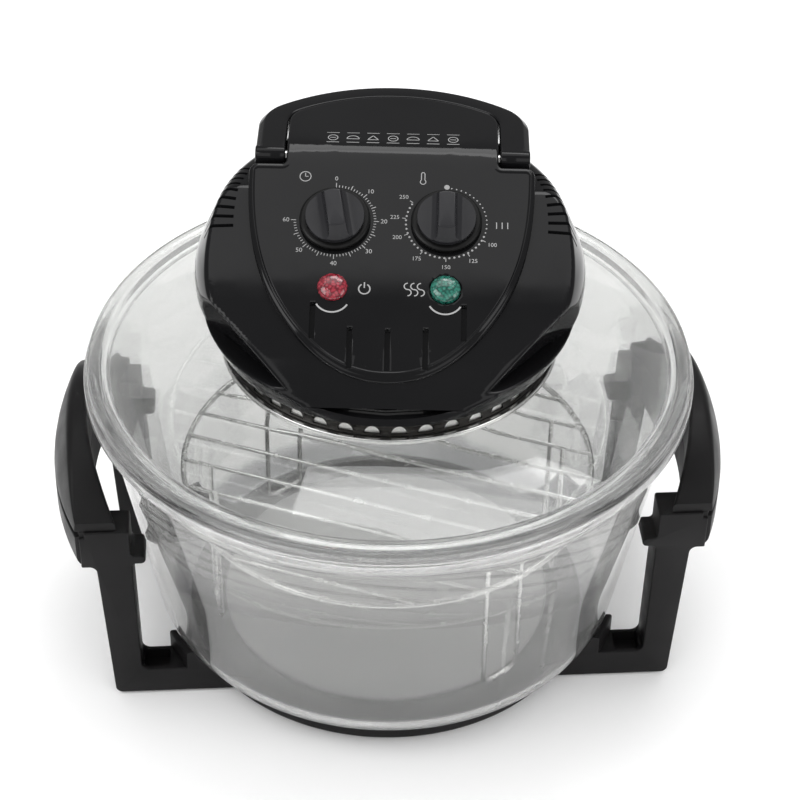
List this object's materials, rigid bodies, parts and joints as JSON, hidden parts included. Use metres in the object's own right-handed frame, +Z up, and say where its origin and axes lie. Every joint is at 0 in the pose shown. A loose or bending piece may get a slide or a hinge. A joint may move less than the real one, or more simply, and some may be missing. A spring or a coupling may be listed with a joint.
{
  "type": "light wave oven",
  "caption": "Countertop halogen oven: glass bowl in a black stand with side grips, wire rack, and a glass lid carrying a heater head with dials and a fold-down handle.",
  "frame": {"origin": "on the axis of the bowl where the rubber feet meet the table", "axes": "+Z up; the console faces -Y; +X is to the right of someone facing the console"},
  "size_m": [0.3858, 0.344, 0.3004],
  "materials": {
    "glass": "clear tempered glass",
    "gloss_black": "high gloss",
    "satin_black": "satin",
    "steel": "bright steel",
    "dark_steel": "dull steel",
    "rubber": "matt",
    "red_lens": "translucent jewel",
    "green_lens": "translucent jewel",
    "quartz": "frosted quartz",
    "ceramic": "unglazed ceramic",
    "copper": "enamelled copper",
    "white_plastic": "moulded"
  },
  "bodies": {
    "stand": {"stand_base": "satin_black", "side_frame_left": "satin_black", "side_frame_right": "satin_black", "grip_left": "satin_black", "grip_right": "satin_black", "grip_screw_left_1": "steel", "grip_screw_left_2": "steel", "grip_screw_right_1": "steel", "grip_screw_right_2": "steel", "rubber_foot_1": "rubber", "rubber_foot_2": "rubber", "rubber_foot_3": "rubber", "rubber_foot_4": "rubber"},
    "bowl": {"glass_bowl": "glass"},
    "rack": {"wire_rack": "steel"},
    "lid_and_head": {"glass_lid": "glass", "clamp_ring": "steel", "lower_guard": "steel", "vent_band": "dark_steel", "reflector": "steel", "halogen_tube": "quartz", "tube_holder_left": "ceramic", "tube_holder_right": "ceramic", "head_base": "gloss_black", "head_cover": "gloss_black", "console_fascia": "gloss_black", "handle_pin_left": "steel", "handle_pin_right": "steel", "safety_switch": "satin_black", "timer_body": "white_plastic", "thermostat_body": "steel", "power_lens": "red_lens", "heat_lens": "green_lens", "power_lamp": "white_plastic", "heat_lamp": "white_plastic", "heat_shield": "steel", "motor_stack": "dark_steel", "motor_coil": "copper", "motor_bracket": "steel", "motor_top_bridge": "steel", "bearing_lower": "copper", "bearing_upper": "copper", "thermal_cutout": "ceramic", "terminal_block": "white_plastic", "cord_inlet": "rubber", "head_screw_1": "steel", "head_screw_2": "steel", "head_screw_3": "steel", "head_screw_4": "steel"},
    "handle": {"carry_handle": "satin_black"},
    "plunger": {"switch_plunger": "white_plastic"},
    "timer": {"timer_knob": "gloss_black", "timer_shaft": "steel"},
    "thermostat": {"thermostat_knob": "gloss_black", "thermostat_shaft": "steel"},
    "fan": {"fan_shaft": "steel", "motor_rotor": "dark_steel", "cooling_fan": "steel", "oven_fan": "steel"}
  },
  "joints": [
    {"name": "bowl_lift", "type": "slide", "parent": "stand", "child": "bowl", "axis": [0, 0, 1], "range_m": [0, 0.2]},
    {"name": "rack_lift", "type": "slide", "parent": "bowl", "child": "rack", "axis": [0, 0, 1], "range_m": [0, 0.06]},
    {"name": "lid_lift", "type": "slide", "parent": "bowl", "child": "lid_and_head", "axis": [0, 0, 1], "range_m": [0, 0.2]},
    {"name": "handle_fold", "type": "hinge", "parent": "lid_and_head", "child": "handle", "pos_m": [0, 0.04, 0.29305], "axis": [1, 0, 0], "range_deg": [0, 90]},
    {"name": "switch_press", "type": "slide", "parent": "lid_and_head", "child": "plunger", "axis": [0, 0, 1], "range_m": [0, 0.003]},
    {"name": "timer_turn", "type": "hinge", "parent": "lid_and_head", "child": "timer", "pos_m": [-0.03, -0.00352, 0.2802], "axis": [0, 0.4305, -0.9026], "range_deg": [0, 270]},
    {"name": "thermostat_turn", "type": "hinge", "parent": "lid_and_head", "child": "thermostat", "pos_m": [0.03, -0.00352, 0.2802], "axis": [0, 0.4305, -0.9026], "range_deg": [0, 300]},
    {"name": "fan_spin", "type": "hinge", "parent": "lid_and_head", "child": "fan", "pos_m": [0, 0, 0.22], "axis": [0, 0, 1], "continuous": true}
  ],
  "couplings": [
    {"joint": "switch_press", "follows": "handle_fold", "m_per_rad": 0.0019}
  ]
}
